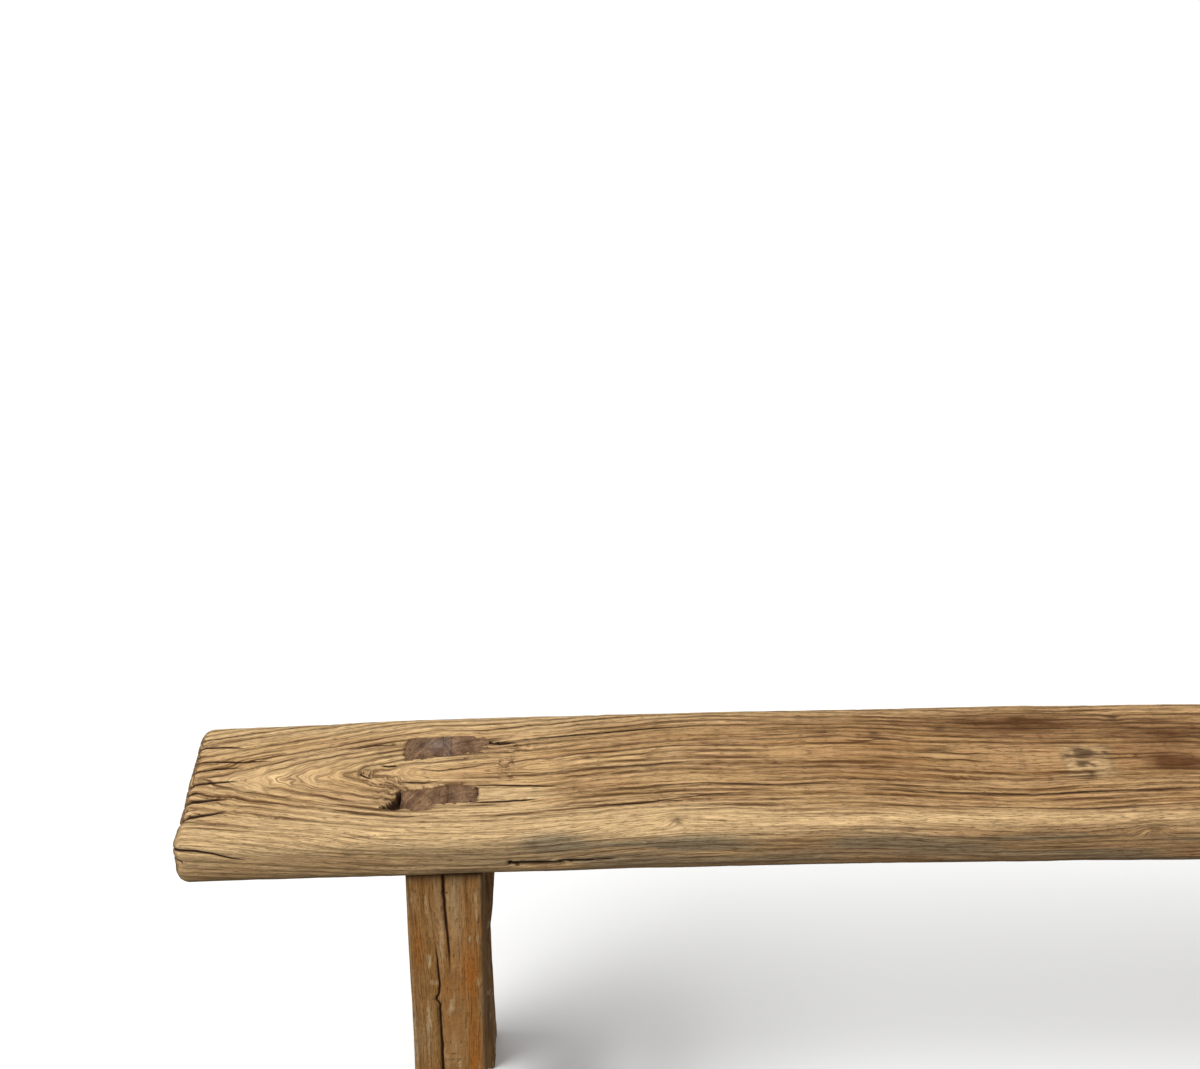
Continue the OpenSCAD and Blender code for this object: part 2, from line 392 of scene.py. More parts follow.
VOIDS = [
    # where wood has broken away at the front left tenon's two ends, (along, across)
    [(-482, -33.5), (-475, -30), (-470, -26.5), (-469.5, -18.5), (-465.5, -17.5), (-465, -34.5),
     (-472, -35.5)],
    [(-415, -29), (-412, -29.8), (-411.8, -18), (-414, -16.5)],
]
# soft spots of wear and colour: strength, (along, round) of the middle, and size
TORN = [
    (1.0, (-390, 7), (8, 14)), (1.0, (-477, -12), (11, 13)), (0.8, (-494, 1), (8, 6)),
    (0.7, (-381, 24), (9, 6)),
]
BLOTCHES = [
    (1.1, (-5, 38), (55, 13)), (1.5, (112, -4), (24, 8)), (1.0, (110, 28), (50, 15)),
    (0.4, (75, 8), (40, 7)),
]
FAINT_STAINS = [
    (0.3, (-130, 42), (110, 16)), (0.2, (-290, 38), (80, 12)), (0.7, (330, 20), (90, 30)),
    (0.4, (520, -10), (60, 30)), (0.25, (-130, -5), (130, 20)),
]
GREYED = [(1.5, (-355, -71), (24, 8)), (0.9, (-265, -73), (30, 5))]
BLEACHED = [
    (0.6, (-350, -46), (150, 8)), (1.0, (-430, -55), (260, 15)), (0.45, (0, -56), (300, 6)),
    (0.3, (-10, -25), (200, 5)),
]
DARK_SPOTS = [
    (1, (72, 43.5), (4, 4)), (1, (-265, -55), (4, 3)), (1, (13, -17), (1.5, 1.5)),
    (1, (-495, 5), (5, 1.4)), (1, (-112, 30), (4, 3)), (1, (82, -68), (4, 2)),
    (1, (-403, 32), (6, 3)), (1, (-190, 2), (3, 1.5)), (1, (-330, 12), (4, 2)),
    (1, (-66, 12), (15, 2.2)), (1, (-62, 34), (5, 2.5)), (1, (-150, 33), (4, 2)),
]
SCUFFED = [(0.9, (-354, -88.3), (6, 1.4)), (0.5, (-396, -24), (7, 4))]
PATCH_X, PATCH_Q = 45, -2
DENT_COUNT = 40
VOID_DEPTH, TENON_PIT = 7.0, 11.0


def make_plank():
    """The plank as a closed tube of sections. Each point lies on the section's outline,
    pushed in or out along its normal by the sum of hewing, grain relief and cracks."""
    half = half_outline(PLANK_W, PLANK_T, TOP_EDGE_R, LOW_EDGE_R)
    face = PLANK_W / 2 - TOP_EDGE_R
    q = stations(-half, (-half + 48, 4), (-half + 76, 1.7), (-face, 1.35), (face, 1.15),
                 (face + 20, 1.7), (face + 40, 3), (half - 48, 3.4), (half, 4))[:-1]
    body = stations(END_EDGE_R, (290, 1.65), (2 * PLANK_HALF - 230, 3.6),
                    (2 * PLANK_HALF - END_EDGE_R, 2.4))[1:-1]
    end = closed_end(END_EDGE_R, 0.04, 11, 7)
    inward, draw, size, facing = (
        between(at_end, middle, at_end)
        for at_end, middle in zip(end, (body, 0 * body, 1 + 0 * body, 0 * body)))
    rows = np.arange(len(inward))[:, None]
    x = np.where(rows < len(inward) - len(end[0]), inward - PLANK_HALF, PLANK_HALF - inward)
    across, up, n_across, n_up = round_outline(q[None, :], PLANK_W, PLANK_T, TOP_EDGE_R, LOW_EDGE_R)
    across, up = (across - n_across * draw) * size, (up - n_up * draw) * size
    out = np.sin(facing) * np.sign(x)
    x, across, up, out, q, size = np.broadcast_arrays(x, across, up, out, q[None, :], size)
    on_end = smooth_step(np.abs(out), 0.6, 1.0)
    body_only = 1 - on_end
    n_across, n_up = n_across * np.cos(facing), n_up * np.cos(facing)
    cross = across + NOISE_LEAN * up
    near_end = smooth_step(size, 0.55, 0.95)

    # hard and soft grain; the tongue is a smooth raised strip beside the front left tenon
    ring = rings_of_plank(x, across, up, q, half, on_end)
    slope = slope_of(ring, x, q)
    tongue = smooth_step(7.5 - np.abs(q + 24), 0, 2.5)
    tongue = tongue * smooth_step(x, -414, -407) * smooth_step(-x, 335, 385)
    vein = smooth_step(smooth_noise(x / 75, ring / 4.3, 23), -0.85, 0.15) * (1 - 0.85 * tongue)
    vein = vein * (0.3 + 0.7 * smooth_step(q, -62, -38)) * (1 - 0.6 * on_end)
    relief = growth_lines(ring, slope, 1.5) * vein

    # end checks, long cracks and the split along the front
    gap, near_gap, deep = fissures(x, q, END_CHECKS + FRONT_SPLIT + LONG_CRACKS, 40)
    gap_right, near_right, deep_right = fissures(-x, q, RIGHT_CHECKS, 41)
    gap = np.where(x > 560, gap_right, gap)
    near_gap = np.where(x > 560, near_right, near_gap) * near_end
    deep = np.where(x > 560, deep_right, deep) * near_end
    at_split = (x < -262) * (x > -390) * (q < -75)
    deeper = 1.2 + 0.9 * smooth_step(np.abs(x), 545, 620) + 1.5 * at_split

    # mortises round the tenons, and a void where wood has broken away beside one
    top_only = smooth_step(up, 17, 21) * body_only
    pit, lean = np.zeros_like(x), np.zeros_like(x)
    for (end_sign, side), corners in TENON_ENDS.items():
        ragged = 1.0 * smooth_noise(x / 5, across / 3, 30 + 2 * end_sign + side)
        ragged = ragged + 0.5 * smooth_noise(x / 2.3, across / 2.1, 34)
        hole = top_only * smooth_step(inside_distance(x, across, corners) + ragged, -0.4, 0.4)
        pit, lean = np.maximum(pit, hole), lean + hole * side
    broken = np.maximum(*(inside_distance(x, across, corners) for corners in VOIDS))
    broken = broken + 0.3 * smooth_noise(x / 4, across / 3, 35)
    void = top_only * smooth_step(broken, -0.5, 0.5)
    # the void and a thin rim round it take the cracks' near black: painted shade in the hole
    dark = top_only * smooth_step(broken, -1.5, -0.8)

    # hewing, dents, swellings round the knots and torn fibres
    hewn = 0.8 * smooth_noise(x / 130, cross / 34, 24) + 0.4 * smooth_noise(x / 38, cross / 15, 25)
    hewn = hewn + 0.16 * smooth_noise(x / 9, cross / 6, 26)
    dents = np.zeros_like(x)
    for k in range(DENT_COUNT):
        place = np.random.default_rng(200 + k).uniform(-1, 1, 2)
        dents += blob(x, q, (place[0] * PLANK_HALF, place[1] * 80), (3 + 3 * (k % 3), 1.4 + k % 2))
    swell = sum(0.6 * blob(x, q, (a, b), (s, s * 0.8)) for a, b, s, _ in KNOTS)
    ruffled = 0.3 * smooth_step(smooth_noise(x / 20, cross / 9, 38), 0.45, 0.9)
    torn = np.clip((blobs(x, q, TORN) + ruffled) * (1 - tongue), 0, 1) * top_only
    fibres = smooth_noise(x / 3.1, cross / 2.0, 39) + 0.5 * smooth_noise(x / 7, cross / 4, 47)
    swell = swell + 1.3 * tongue + 0.9 * blob(x, q, (-354, -88), (7, 1.6))
    swell = swell + 0.9 * torn * (1 - dark) * fibres
    push = hewn - 0.5 * relief - 0.5 * dents + swell - 0.9 * deep * deeper - VOID_DEPTH * void
    push = push * (1 - pit) - TENON_PIT * pit

    # the ends are cut askew, and the left end is a little narrower at the rear
    skew = np.where(x < 0, END_SKEW[LEFT], END_SKEW[RIGHT])
    skewed = skew * (across + PLANK_W / 2) * smooth_step(np.abs(x), PLANK_HALF - 150, PLANK_HALF)
    shift = -np.sign(x) * skewed - 1.2 * smooth_step(-x, 480, 630)
    narrow = 4.5 * smooth_step(-x, 430, 640) * smooth_step(across, 0, PLANK_W / 2)
    bow = BOW * ((LEG_X / PLANK_HALF) ** 2 - (x / PLANK_HALF) ** 2)
    points = np.stack([
        x + shift + out * push,
        across - narrow + n_across * push + bow - lean * push * SIDE_SPLAY * pit,
        SEAT_H - PLANK_T / 2 + up + n_up * push], -1)

    # an old rubbed patch, nearly square, with smudges on it
    off_x, off_q = np.abs(x - PATCH_X), np.abs(q - PATCH_Q)
    patch = smooth_step(19 - off_x, -2, 3) * smooth_step(17 - off_q, -2, 3)
    smudge = smooth_noise(x / 5.5, q / 3.4, 29) + blob(x, q, (44, 2), (13, 9))
    smudge = patch * smooth_step(smudge, 0.4, 0.8)
    rim = np.exp(-(np.maximum(off_x - 18, off_q - 16) / 1.3) ** 2)
    smudge = smudge + 0.5 * rim * smooth_step(smooth_noise(x / 8, q / 7, 30), -0.2, 0.4)

    # marks for the finish
    stain = blobs(x, q, BLOTCHES) * (1 + 0.35 * smooth_noise(x / 14, q / 4, 31))
    stain = stain + blobs(x, q, FAINT_STAINS) + 0.12 * torn
    patchy = smooth_step(smooth_noise(x / 60, cross / 9, 27), -0.5, 0.6)
    low_front = smooth_step(-q, 58, 76) * smooth_step(x, -480, -300)
    grey = 0.75 * patchy * low_front + 0.15 * smooth_step(-q, 58, 75) + 0.1 * patch
    grey = grey + blobs(x, q, GREYED)
    pale = smooth_step(-x, 120, 480) * (0.6 + 0.35 * smooth_noise(x / 50, cross / 20, 28))
    pale = pale * (1 - 0.35 * smooth_step(-q, 62, 82)) + 0.5 * smooth_step(q, 40, 56)
    # the bell curve round q = -58 is a painted highlight along the rounded front top edge
    pale = pale + 0.4 * np.exp(-((q + 58) / 11) ** 2) + 0.9 * tongue + 0.7 * patch
    pale = pale + blobs(x, q, BLEACHED)
    # in torn fibres the sunken strands are darkened: painted shade of their relief
    spots = blobs(x, q, DARK_SPOTS) + 0.3 * torn * smooth_step(-fibres, 0.3, 0.9) + 1.0 * smudge
    # painted shade: darker down the lower front and rear faces and over the underside
    shade_and_grime = smooth_step(-q, 80, 112) + smooth_step(q, 72, 105)
    scuff = 0.4 * smooth_step(smooth_noise(x / 17, cross / 2.2, 36), 0.5, 0.9)
    scuff = scuff * (0.3 + 0.7 * smooth_step(-q, 35, 55)) + blobs(x, q, SCUFFED)
    marks = {
        "vein": vein, "slope": slope, "gap": gap, "near_gap": near_gap,
        "hollow": np.clip(pit + dark + 0.5 * (deep > 1.2), 0, 1), "scuff": scuff,
        "stain": np.clip(stain, 0, 1.2), "grey": np.clip(grey, 0, 1), "pale": np.clip(pale, 0, 1),
        "end": on_end, "spot": np.clip(spots + 0.35 * dents, 0, 1), "shade_and_grime": np.clip(shade_and_grime, 0, 1),
        "brown": smooth_step(x, -330, 200), "torn": torn,
    }
    uv = np.stack([points[..., 0] + GRAIN_START, ring], -1)
    return closed_tube("plank", points, uv, marks)


def shade(material_name):
    """A new node material's tree, its main shader and a maker of joined nodes."""
    material = bpy.data.materials.new(material_name)
    material.use_nodes = True
    tree = material.node_tree

    def node(kind, inputs=(), **settings):
        """A node of that kind, with its settings, and values or sockets on its inputs."""
        made = tree.nodes.new(kind)
        for key, value in settings.items():
            setattr(made, key, value)
        for key, value in dict(inputs).items():
            if isinstance(value, bpy.types.NodeSocket):
                tree.links.new(value, made.inputs[key])
            else:
                made.inputs[key].default_value = value
        return made

    return material, tree.nodes["Principled BSDF"], node


def mixed(node, amount, low, high):
    """The colour that is the given amount of the way from low to high."""
    mix = node("ShaderNodeMix", {0: amount, 6: low, 7: high}, data_type="RGBA", blend_type="MIX")
    return mix.outputs[2]


def sums(node, kind, first, second):
    """One sum of two values: ADD, MULTIPLY and so on."""
    return node("ShaderNodeMath", {0: first, 1: second}, operation=kind).outputs[0]


def ranged(node, value, low, high, to_low=0.0, to_high=1.0):
    """The value carried from one range to another, and held there."""
    made = node("ShaderNodeMapRange", {0: value, 1: low, 2: high, 3: to_low, 4: to_high})
    return made.outputs[0]


def mark(node, name, weight=1.0):
    """One of the marks that the mesh carries, times a weight."""
    value = node("ShaderNodeAttribute", attribute_name=name).outputs["Fac"]
    return value if weight == 1.0 else sums(node, "MULTIPLY", value, weight)


def streak_noise(node, along, across, detail=3.0):
    """Noise drawn out along the grain: so many cells a metre along, and across."""
    where = node("ShaderNodeUVMap", uv_map="grain").outputs[0]
    laid = node("ShaderNodeMapping", {0: where, 3: (along, across, 1)}).outputs[0]
    settings = {"Vector": laid, "Scale": 1.0, "Detail": detail, "Roughness": 0.55}
    return node("ShaderNodeTexNoise", settings).outputs[0]


def round_noise(node, cells, detail=3.0):
    """Noise that is the same in every direction: so many cells a metre."""
    place = node("ShaderNodeTexCoord").outputs["Object"]
    return node("ShaderNodeTexNoise", {"Vector": place, "Scale": cells, "Detail": detail}).outputs[0]


def elm(material_name, palette, lines=0.95, fine=0.6):
    """Weathered elm. Dark growth lines lie where the ring coordinate is a whole number of
    pitches, at the distance |ring - whole| / slope, and broken finer ones lie half way
    between them. Stretched noise gives hairs, bands and pores, and the marks on the mesh
    give stains, bleaching, scuffs, cracks, painted shade and a painted highlight. The same
    lines and hairs shape its bump."""
    material, shader, node = shade(material_name)
    paint = {name: (*rgb, 1) for name, rgb in palette.items()}
    hair = streak_noise(node, 16, 1300)
    bands = streak_noise(node, 6, 300)
    drift = streak_noise(node, 9, 40, 4.0)
    pores = ranged(node, streak_noise(node, 110, 1700, 2.0), 0.6, 0.72)
    fuzz = streak_noise(node, 75, 800)
    pinker = ranged(node, streak_noise(node, 12, 130, 2.0), 0.4, 0.62, 0.0, 0.5)

    # the ring coordinate, wobbling a little, and crumpled where the fibres are torn
    grain = node("ShaderNodeUVMap", uv_map="grain").outputs[0]
    ring = node("ShaderNodeSeparateXYZ", {0: grain}).outputs[1]
    ring = sums(node, "ADD", ring, sums(node, "MULTIPLY", streak_noise(node, 22, 260), 0.0022))
    crumple = ranged(node, streak_noise(node, 130, 260), 0.3, 0.7, -0.0035, 0.0035)
    ring = sums(node, "ADD", ring, sums(node, "MULTIPLY", crumple, mark(node, "torn")))

    # growth lines, their soft flanks, and broken finer lines between them
    slope, vein = mark(node, "slope"), mark(node, "vein")
    off_line = sums(node, "DIVIDE", sums(node, "PINGPONG", ring, RING_PITCH * MM / 2), slope)
    broken = ranged(node, streak_noise(node, 24, 420), 0.42, 0.58, 0.08, 1.0)
    line = sums(node, "MULTIPLY", ranged(node, off_line, 0.00105, 0.0004),
                sums(node, "MULTIPLY", vein, broken))
    # soft: a darker flank beside each growth line; in the colour it is painted shade of the grooves'
    # relief, and it also shapes the bump
    soft = sums(node, "MULTIPLY", ranged(node, off_line, 0.0022, 0.0006), vein)
    finer = sums(node, "PINGPONG", sums(node, "ADD", ring, 0.0011), RING_PITCH * MM / 4)
    dashes = ranged(node, streak_noise(node, 34, 520, 2.0), 0.5, 0.62)
    finer = ranged(node, sums(node, "DIVIDE", finer, slope), 0.0008, 0.0003)
    finer = sums(node, "MULTIPLY", finer, dashes)
    finer = sums(node, "MULTIPLY", finer, ranged(node, mark(node, "pale"), 0, 1, 1, 0.5))
    rubbed = ranged(node, streak_noise(node, 130, 520), 0.3, 0.7, -0.3, 0.3)
    scuff = sums(node, "ADD", mark(node, "scuff"), rubbed)

    # each layer of colour lies over the ones before it
    colour = mixed(node, ranged(node, bands, 0.38, 0.62), paint["light"], paint["middle"])
    for amount, name in (
            (pinker, "pink"),
            (mark(node, "torn", 0.5), "pink"),
            (ranged(node, drift, 0.35, 0.75, 0.0, 0.55), "warm"),
            (mark(node, "brown", 0.34), "warm"),
            # the pale layer holds bleaching, and on the plank a painted highlight along the rounded
            # front top edge
            (mark(node, "pale", 0.72), "pale"),
            (mark(node, "stain", 0.82), "stain"),
            (mark(node, "grey", 0.8), "grey"),
            # painted shade: a dark brown on the plank's lower faces, on the posts below their shoulders
            # and on their narrow faces, on the stretchers next to the legs, and towards the posts' feet
            (mark(node, "shade_and_grime", 0.4), "shade_and_grime"),
            (ranged(node, fuzz, 0.35, 0.65, 0.0, 0.3), "deep"),
            (sums(node, "MULTIPLY", ranged(node, hair, 0.47, 0.68), fine), "deep"),
            # the soft flanks: painted shade beside the growth lines
            (sums(node, "MULTIPLY", soft, 0.28), "deep"),
            (sums(node, "MULTIPLY", finer, fine), "deep"),
            (sums(node, "MULTIPLY", line, lines), "deep"),
            (sums(node, "MULTIPLY", pores, 0.4), "deep"),
            (mark(node, "spot", 0.75), "spot"),
            (ranged(node, scuff, 0.3, 0.85, 0.0, 0.65), "scuff")):
        colour = mixed(node, amount, colour, paint[name])

    # end grain: darker, ringed and pricked with pores
    clouds = ranged(node, round_noise(node, 110.0), 0.38, 0.62)
    end_colour = mixed(node, clouds, paint["end_light"], paint["end_dark"])
    for amount, name in (
            (ranged(node, off_line, 0.0016, 0.0003, 0.0, 0.45), "end_dark"),
            (ranged(node, round_noise(node, 700.0), 0.52, 0.7, 0.0, 0.7), "spot"),
            (mark(node, "grey", 0.55), "end_grey"),
            (mark(node, "spot", 0.8), "spot")):
        end_colour = mixed(node, amount, end_colour, paint[name])
    colour = mixed(node, mark(node, "end"), colour, end_colour)

    # cracks: dark within half a width of their middle. The hollow mark is darkened the same way, and
    # holds painted shade in the broken-away void and a painted shadow just under each leg's shoulder
    off = node("ShaderNodeMath", {0: mark(node, "gap")}, operation="ABSOLUTE").outputs[0]
    there = ranged(node, mark(node, "near_gap"), 0.1, 0.6)
    open_crack = sums(node, "MULTIPLY", ranged(node, off, 1.25, 0.55), there)
    open_crack = sums(node, "MAXIMUM", open_crack, mark(node, "hollow"))
    colour = mixed(node, open_crack, colour, paint["crack"])

    height = sums(node, "MULTIPLY", hair, -0.7)
    for value, weight in ((bands, -0.5), (round_noise(node, 330.0, 4.0), 0.5), (pores, -0.7),
                          (line, -1.1), (finer, -0.5), (soft, -1.1)):
        height = sums(node, "ADD", height, sums(node, "MULTIPLY", value, weight))
    bump = node("ShaderNodeBump", {"Strength": 0.9, "Distance": 0.0011, "Height": height})
    tree = material.node_tree
    tree.links.new(colour, shader.inputs["Base Color"])
    tree.links.new(bump.outputs[0], shader.inputs["Normal"])
    tree.links.new(ranged(node, hair, 0.3, 0.7, 0.62, 0.86), shader.inputs["Roughness"])
    shader.inputs["Specular IOR Level"].default_value = 0.14
    return material


# painted shade takes the dull dark brown (0.14, 0.086, 0.038)
SEAT_PALETTE = {
    "light": (0.77, 0.51, 0.235), "middle": (0.53, 0.305, 0.12), "warm": (0.43, 0.215, 0.078),
    "pink": (0.66, 0.40, 0.215), "pale": (0.86, 0.61, 0.315), "deep": (0.115, 0.047, 0.013),
    "stain": (0.115, 0.046, 0.016), "scuff": (0.68, 0.50, 0.29), "grey": (0.27, 0.23, 0.15),
    "shade_and_grime": (0.14, 0.086, 0.038), "spot": (0.05, 0.022, 0.009), "crack": (0.03, 0.012, 0.004),
    "end_light": (0.42, 0.27, 0.135), "end_dark": (0.20, 0.11, 0.05), "end_grey": (0.25, 0.20, 0.13),
}
plank = make_plank()
plank.data.materials.append(elm("elm_plank", SEAT_PALETTE))
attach(plank, "root")
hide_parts("seat")

# ---------------------------------------------------------------------------------------
# The legs: square elm posts, hewn and scraped, splayed to the side and a little to the
# end. Each has shoulders under the plank and a full-width tenon that comes up through it,
# so its end grain shows in the top. They are checked along the grain and streaked orange.
# ---------------------------------------------------------------------------------------

LEG_W, LEG_D, LEG_ARRIS = 57.0, 44.0, 3.5
FOOT_EDGE_R, TENON_EDGE_R = 2.5, 1.0
# the tenon's sides run from just above the shoulder
NECK_Z = SHOULDER_Z + 3.5
TAPER = {FRONT: 0.02, REAR: 0.06}
LEG_NOISE_LEAN = -1.6

LEG_CRACKS = {
    # (distance below the shoulder, across) on the outer face, and the half width
    (LEFT, FRONT): [([(-2, -1.0), (14, -0.7), (33, 0), (56, 1.2), (66, 2), (92, 2.2)], 1.45, False),
                    ([(60, -8.2), (71, -7.6), (86, -6.7), (99, -6), (110, -6.3), (116, -9),
                      (121, -6), (137, -6.2), (156, -5.6), (210, -5.6), (260, -4), (330, -5)],
                     1.2, True)],
    (RIGHT, FRONT): [([(-2, 6), (60, 4), (150, 8), (240, 6)], 1.2, False),
                     ([(190, -9), (300, -7), (420, -10)], 1.0, True)],
    (LEFT, REAR): [([(60, 9), (180, 5), (330, 8)], 1.1, True)],
    (RIGHT, REAR): [([(-2, -5), (120, -8), (260, -4), (400, -7)], 1.3, False)],
}
# soft spots on the front left leg: strength, (distance below the shoulder, round), and size
ORANGE_STREAKS = [
    (1.0, (185, 20), (70, 4)), (0.9, (88, 17), (24, 7)), (0.9, (68, -21.5), (20, 4)),
    (0.35, (40, 14), (40, 3)),
]
PALE_STREAKS = [(0.9, (18, 7), (42, 5)), (0.7, (30, -4), (36, 3))]
LEG_SCUFFS = [
    (0.66, (22, -23), (12, 1.6)), (0.66, (24, -14), (11, 1.5)), (0.66, (78, -13), (9, 2)),
    (0.66, (135, -14.5), (20, 1.8)), (0.66, (100, 24.5), (5, 3)), (0.66, (30, 24), (26, 1.6)),
    (0.66, (128, 1.5), (9, 2.4)), (0.66, (170, -26), (60, 1.6)), (0.66, (58, 18), (4, 1.6)),
    (0.66, (100, -10), (4, 4)), (0.66, (60, -3), (18, 2.4)), (0.66, (190, 8), (25, 1.6)),
]
# hollows, bruises and a bluish patch on the rear left tenon's end, by (across, up)
END_HOLLOWS = [(0.8, (-6.5, 1), (7, 1.2)), (0.6, (-5, -6.8), (7, 1))]
END_BRUISES = [(0.9, (-19.5, 5.5), (3.5, 5)), (0.9, (16, 7.3), (4, 3))]
END_BLUISH = [(1.0, (-7, 5), (13, 7))]
RAIL_Z = [(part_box(f"rail_{level}_left")[0].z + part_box(f"rail_{level}_left")[1].z) / 2 / MM
          for level in ("upper", "lower")]
RAIL_TENON_T, RAIL_TENON_H = 17.0, 38.0
WEDGE_HEAD = 6.0


def leg_axis(end, side, z):
    """Where a leg's middle line is at the height z: straight down from its tenon, out by
    the two splays."""
    drop = SEAT_H - z
    return end * (LEG_X + drop * END_SPLAY), side * (TENON_Y + drop * SIDE_SPLAY)


def make_leg(name, end, side, seed):
    """A leg as a closed tube of level sections: each is the leg's cross section, stretched
    by the splay. Between two rings at the shoulder it drops from the leg's depth to the
    tenon's. Points are pushed along their normals by hewing, grain and cracks."""
    half = half_outline(LEG_W, LEG_D, LEG_ARRIS, LEG_ARRIS)
    flat = LEG_W / 2 - LEG_ARRIS
    q = stations(-half, (-half + 25, 2.2), (-flat - 6, 1.8), (-flat, 1.0), (flat, 1.15),
                 (flat + 6, 1.0), (half - 25, 1.8), (half, 2.2))[:-1]
    post = stations(FOOT_EDGE_R, (200, 2.3), (SHOULDER_Z - 1, 1.5), (NECK_Z - 0.5, 1.5))[1:]
    neck = stations(NECK_Z, (TENON_TOP - TENON_EDGE_R, 5))[:-1]
    body = np.concatenate([post, neck])
    foot, top = closed_end(FOOT_EDGE_R, 0.05, 16, 5), closed_end(TENON_EDGE_R, 0.05, 16, 5)
    z = between(foot[0], body, TENON_TOP - top[0])
    draw = between(foot[1], 0 * body, top[1])
    size = between(foot[2], 1 + 0 * body, top[2])
    tilt = between(-foot[3], 0 * body, top[3])
    is_tenon = z > NECK_Z - 0.3
    stretch = math.hypot(1, SIDE_SPLAY)
    across, up, n_across, n_up = round_outline(q[None, :], LEG_W, LEG_D, LEG_ARRIS, LEG_ARRIS)
    up = np.where(is_tenon, up * TENON_T / LEG_D, up)
    across = np.where(is_tenon, across * (1 + 0.1 * smooth_step(z, 470, 499)), across)
    across = across * (1 - TAPER[side] * smooth_step(SHOULDER_Z - z, 0, 220))
    across, up = (across - n_across * draw) * size, (up - n_up * draw) * size
    across, up, along, tilt, q, is_tenon = np.broadcast_arrays(
        across, up, SHOULDER_Z - z, tilt, q[None, :], is_tenon)
    on_top, on_foot = smooth_step(tilt, 0.6, 1.4), smooth_step(-tilt, 0.6, 1.4)
    end_grain = np.where(is_tenon, 1.0, np.maximum(on_foot, on_top))

    # growth lines about a pith off to one side of the post
    cross = across + LEG_NOISE_LEAN * up
    pith = np.random.default_rng(seed).uniform(-9, 9) + 5 * smooth_noise(along / 160, 0 * along, seed)
    ring = np.hypot((q - pith * np.cos(math.pi / 2 * q / half)), 9 + along / 40)
    ring = ring + 1.3 * smooth_noise(along / 90, cross / 14, seed + 1)
    ring = ring + 0.4 * smooth_noise(along / 25, cross / 6, seed + 2)
    ring_end = np.hypot(across - 22, up + 30 * side) * 1.1 + smooth_noise(across / 9, up / 9, seed + 2)
    ring = ring + (ring_end - ring) * end_grain
    slope = slope_of(ring, along, q)
    vein = smooth_step(smooth_noise(along / 90, ring / 4, seed + 3), -0.3, 0.8) * (1 - 0.6 * end_grain)

    # cracks on the outer face, and one on each other face
    others = [([(215, 47), (330, 50), (430, 48)], 1.0, True),
              ([(160, -48), (320, -53), (440, -50)], 1.0, True),
              ([(30 + 40 * (seed % 3), half - 11), (200, half - 15), (390, half - 12)], 1.1, True)]
    gap, near_gap, deep = fissures(along, q, LEG_CRACKS[end, side] + others, seed)
    near_gap, deep = near_gap * (1 - end_grain), deep * (1 - end_grain)
    # a thin dark line round each stretcher tenon, and on each side of the wedge
    for rail_z in RAIL_Z:
        off_height = np.abs(along - SHOULDER_Z + rail_z) - RAIL_TENON_H / 2
        off = np.maximum(np.abs(across) - RAIL_TENON_T / 2, off_height) - 0.3
        beside = (np.abs(off) < 3) & (up > 15) & ~is_tenon
        gap = np.where(beside, off / 0.7, gap)
        near_gap = np.where(beside, 1 - (off / 3) ** 2, near_gap)
    off = np.abs(across) - WEDGE_HEAD / 2 - 0.1
    beside = (np.abs(off) < 2.2) & (on_top > 0)
    gap, near_gap = np.where(beside, off / 0.5, gap), np.where(beside, 0.26 * on_top, near_gap)

    hewn = 0.5 * smooth_noise(along / 75, cross / 24, seed + 4)
    hewn = hewn + 0.2 * smooth_noise(along / 17, cross / 9, seed + 5)
    wear = np.clip((along - 380) / 70, 0, 1) * 0.8 * smooth_noise(along / 12, cross / 10, seed + 6)
    relief = growth_lines(ring, slope, 1.6) * vein
    rough = 0.3 * smooth_noise(along / 6, cross / 5, seed + 7)
    push = np.where(is_tenon, rough, hewn - 0.3 * relief - wear) - 2.4 * deep
    # the tenon's end: cut rough, burred over, with a step where a corner has sunk
    burr = 0.5 * smooth_noise(across / 5, up / 4, seed + 8)
    burr = burr + 0.3 * smooth_noise(across / 2, up / 1.6, seed + 9)
    nothing = 0 * across
    sunk, hollow, bruise, bluish = nothing, nothing, nothing, nothing
    if (end, side) == (LEFT, FRONT):
        sunk = smooth_step(-(across + 6 - 0.25 * up), -1, 1)
    if (end, side) == (LEFT, REAR):
        hollow, bruise, bluish = (blobs(across, up, t) for t in (END_HOLLOWS, END_BRUISES, END_BLUISH))
    top_drop = on_top * (0.3 - burr + 1.3 * sunk + 2.2 * hollow)
    foot_wear = on_foot * np.clip(0.6 * smooth_noise(across / 14, up / 12, seed + 9), 0, 1)

    # the rear legs wander sideways on their way down
    middle = leg_axis(end, side, SHOULDER_Z - along)
    warp = 3.4 * smooth_step(along, 20, 90) - 6.6 * smooth_step(along, 115, 250)
    warp = warp * ~is_tenon * (side == REAR)
    points = np.stack([
        middle[0] - end * warp + across + n_across * np.cos(tilt) * push,
        middle[1] + side * (up + n_up * np.cos(tilt) * push) * np.where(is_tenon, 1, stretch),
        SHOULDER_Z - along - top_drop + foot_wear], -1)

